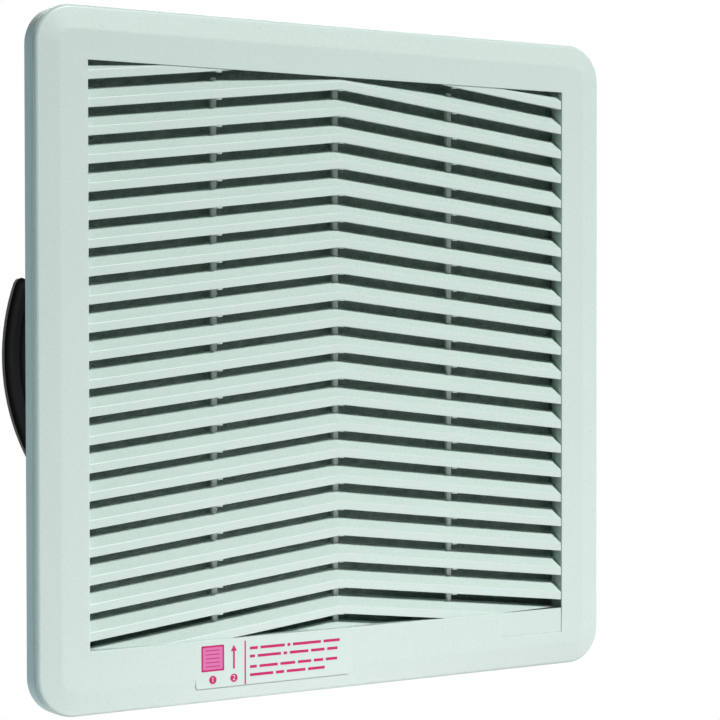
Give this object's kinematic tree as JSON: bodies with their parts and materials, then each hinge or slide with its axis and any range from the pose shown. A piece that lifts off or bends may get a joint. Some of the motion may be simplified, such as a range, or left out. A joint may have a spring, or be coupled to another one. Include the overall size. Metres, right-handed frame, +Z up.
{
  "type": "enclosure filter fan",
  "caption": "Square filter fan for an electrical enclosure: louvred clip-on cover, panel frame with filter mat, duct and axial fan behind the panel.",
  "frame": {"origin": "middle of the seal's back face, which rests on the cabinet's panel; centre of the square front", "axes": "+X to the right seen from the front, +Y into the cabinet along the fan's shaft, +Z up"},
  "size_m": [0.325, 0.1584, 0.325],
  "materials": {
    "grey_plastic": "fine spark-eroded grain, pale grey",
    "frame_plastic": "fine grain, pale grey",
    "black_plastic": "satin black",
    "seal_foam": "closed-cell foam, dark grey",
    "filter_fibre": "loose dark grey fibre",
    "spring_steel": "plain",
    "zinc_steel": "bright zinc",
    "guard_steel": "black dip coat",
    "rotor_coat": "black dip coat",
    "core_steel": "stacked sheets",
    "copper_wire": "enamelled copper",
    "bearing_steel": "polished",
    "terminal_plastic": "off-white",
    "screw_brass": "plain",
    "gland_plastic": "mid grey"
  },
  "bodies": {
    "housing": {"panel_frame": "frame_plastic", "panel_seal": "seal_foam", "filter_mat": "filter_fibre", "filter_grid": "frame_plastic", "clip_saddles": "spring_steel", "clip_rivets": "zinc_steel", "fan_duct": "frame_plastic", "duct_screws": "zinc_steel", "fan_housing": "black_plastic", "motor_mount": "black_plastic", "fan_screws": "zinc_steel", "fan_nuts": "zinc_steel", "stator_core": "core_steel", "stator_winding": "copper_wire", "bearing_front": "bearing_steel", "bearing_rear": "bearing_steel", "finger_guard": "guard_steel", "guard_screws": "zinc_steel", "terminal_box": "frame_plastic", "box_cover": "frame_plastic", "box_screws": "zinc_steel", "terminal_block": "terminal_plastic", "terminal_screws": "screw_brass", "gland_body": "gland_plastic", "gland_nut": "gland_plastic"},
    "cover": {"front_cover": "grey_plastic"},
    "tongue": {"latch_tongue": "grey_plastic"},
    "rotor": {"impeller": "black_plastic", "rotor_can": "rotor_coat", "motor_shaft": "bearing_steel", "retaining_ring": "spring_steel"},
    "clip_left": {"panel_clip_left": "spring_steel"},
    "clip_right": {"panel_clip_right": "spring_steel"},
    "clip_top": {"panel_clip_top": "spring_steel"},
    "clip_bottom": {"panel_clip_bottom": "spring_steel"}
  },
  "joints": [
    {"name": "cover_off", "type": "slide", "parent": "housing", "child": "cover", "axis": [0, -1, 0], "range_m": [0, 0.06]},
    {"name": "tongue_flex", "type": "hinge", "parent": "cover", "child": "tongue", "pos_m": [0, -0.0067, -0.1614], "axis": [1, 0, 0], "range_deg": [0, 10], "stiffness_Nm_per_rad": 0.4},
    {"name": "impeller_spin", "type": "hinge", "parent": "housing", "child": "rotor", "pos_m": [0, 0.1, 0], "axis": [0, 1, 0], "continuous": true},
    {"name": "clip_left_flex", "type": "hinge", "parent": "housing", "child": "clip_left", "pos_m": [-0.142, 0.0134, 0], "axis": [0, 0, 1], "range_deg": [0, 24], "stiffness_Nm_per_rad": 0.6},
    {"name": "clip_right_flex", "type": "hinge", "parent": "housing", "child": "clip_right", "pos_m": [0.142, 0.0134, 0], "axis": [0, 0, -1], "range_deg": [0, 24], "stiffness_Nm_per_rad": 0.6},
    {"name": "clip_top_flex", "type": "hinge", "parent": "housing", "child": "clip_top", "pos_m": [0, 0.0134, 0.142], "axis": [1, 0, 0], "range_deg": [0, 24], "stiffness_Nm_per_rad": 0.6},
    {"name": "clip_bottom_flex", "type": "hinge", "parent": "housing", "child": "clip_bottom", "pos_m": [0, 0.0134, -0.142], "axis": [-1, 0, 0], "range_deg": [0, 24], "stiffness_Nm_per_rad": 0.6}
  ]
}
